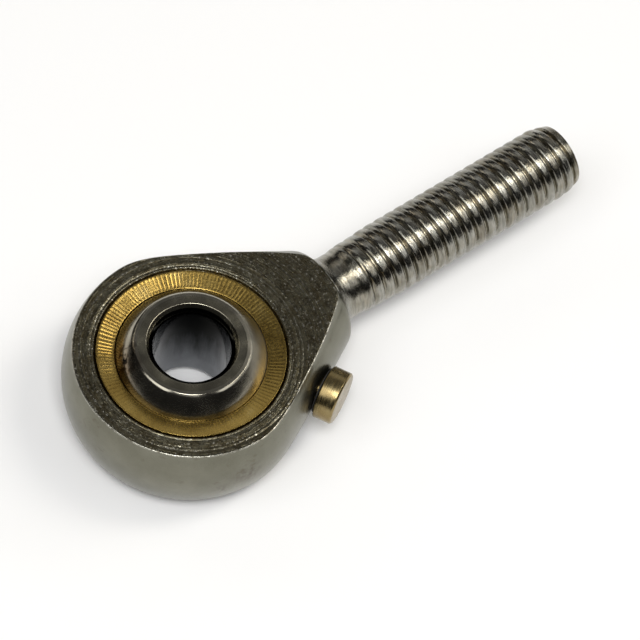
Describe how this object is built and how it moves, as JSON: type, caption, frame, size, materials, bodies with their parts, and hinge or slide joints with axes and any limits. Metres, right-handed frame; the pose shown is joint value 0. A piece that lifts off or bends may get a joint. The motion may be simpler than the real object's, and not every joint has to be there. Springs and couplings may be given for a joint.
{
  "type": "male rod end bearing",
  "caption": "Male rod end bearing: eye with brass race inserts, a bored steel ball that tilts in it, a brass lubrication plug and a threaded shank.",
  "frame": {"origin": "centre of the ball, where the bore axis crosses the shank axis", "axes": "+Z along the bore of the ball, +X along the threaded shank to its free end, lubrication plug on the -Y side"},
  "size_m": [0.0463, 0.0194, 0.0094],
  "materials": {
    "housing_steel": "bright turned and rolled steel with fine tool marks",
    "race_brass": "turned and coined brass, satin",
    "ball_steel": "hardened and polished bearing steel",
    "plug_brass": "bright turned brass",
    "seal_rubber": "black rubber"
  },
  "bodies": {
    "rod_end_body": {"housing": "housing_steel", "race_insert_upper": "race_brass", "race_insert_lower": "race_brass", "lube_plug": "plug_brass", "plug_seal": "seal_rubber"},
    "ball": {"ball": "ball_steel"}
  },
  "joints": [
    {"name": "ball_tilt", "type": "hinge", "parent": "rod_end_body", "child": "ball", "pos_m": [0, 0, 0], "axis": [1, 0, 0], "range_deg": [-13, 13]}
  ]
}
